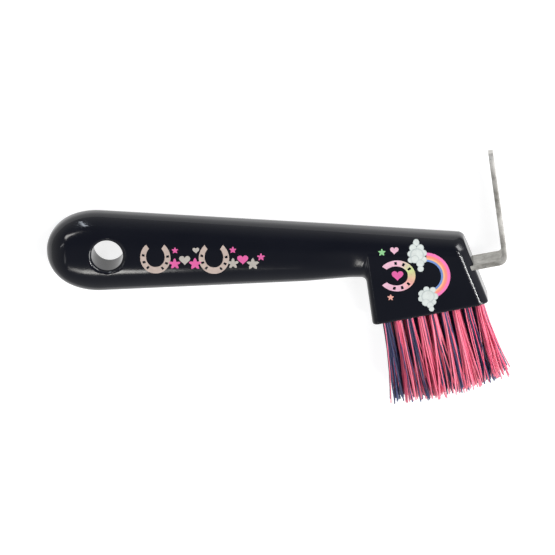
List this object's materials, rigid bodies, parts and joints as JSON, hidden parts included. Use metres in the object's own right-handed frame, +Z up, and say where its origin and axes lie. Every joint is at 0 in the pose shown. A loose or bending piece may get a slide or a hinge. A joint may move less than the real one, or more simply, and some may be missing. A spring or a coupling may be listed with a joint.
{
  "type": "hoof pick with brush",
  "caption": "Hoof pick: a moulded grip with a hanging hole, a bent flat steel hook and a block of stiff bristles on its head.",
  "frame": {"origin": "middle of the footprint, on the surface that the pick lies on", "axes": "+X along the handle from the hanging hole to the head; +Y the way the hook's blade stands, away from the bristles; +Z up, out of the printed face of the pick, which lies on its side"},
  "size_m": [0.1748, 0.0996, 0.0145],
  "materials": {
    "moulded_plastic": "high gloss, near-black with a navy cast, moulded in one piece",
    "hook_steel": "satin zinc-plated strip, brushed along its length",
    "pink_filament": "coral pink polypropylene filament, slight sheen",
    "navy_filament": "navy polypropylene filament, slight sheen",
    "staple_wire": "drawn flat anchor wire"
  },
  "bodies": {
    "root": {"handle": "moulded_plastic", "hook": "hook_steel", "tuft_front_1": "navy_filament", "tuft_front_2": "pink_filament", "tuft_front_3": "pink_filament", "tuft_front_4": "pink_filament", "tuft_front_5": "navy_filament", "tuft_front_6": "navy_filament", "tuft_front_7": "pink_filament", "tuft_front_8": "navy_filament", "tuft_front_9": "pink_filament", "tuft_middle_1": "navy_filament", "tuft_middle_2": "pink_filament", "tuft_middle_3": "pink_filament", "tuft_middle_4": "pink_filament", "tuft_middle_5": "navy_filament", "tuft_middle_6": "navy_filament", "tuft_middle_7": "pink_filament", "tuft_middle_8": "navy_filament", "tuft_back_1": "navy_filament", "tuft_back_2": "pink_filament", "tuft_back_3": "pink_filament", "tuft_back_4": "pink_filament", "tuft_back_5": "navy_filament", "tuft_back_6": "navy_filament", "tuft_back_7": "pink_filament", "tuft_back_8": "navy_filament", "tuft_back_9": "pink_filament", "staple_front_1": "staple_wire", "staple_front_2": "staple_wire", "staple_front_3": "staple_wire", "staple_front_4": "staple_wire", "staple_front_5": "staple_wire", "staple_front_6": "staple_wire", "staple_front_7": "staple_wire", "staple_front_8": "staple_wire", "staple_front_9": "staple_wire", "staple_middle_1": "staple_wire", "staple_middle_2": "staple_wire", "staple_middle_3": "staple_wire", "staple_middle_4": "staple_wire", "staple_middle_5": "staple_wire", "staple_middle_6": "staple_wire", "staple_middle_7": "staple_wire", "staple_middle_8": "staple_wire", "staple_back_1": "staple_wire", "staple_back_2": "staple_wire", "staple_back_3": "staple_wire", "staple_back_4": "staple_wire", "staple_back_5": "staple_wire", "staple_back_6": "staple_wire", "staple_back_7": "staple_wire", "staple_back_8": "staple_wire", "staple_back_9": "staple_wire"}
  },
  "joints": []
}
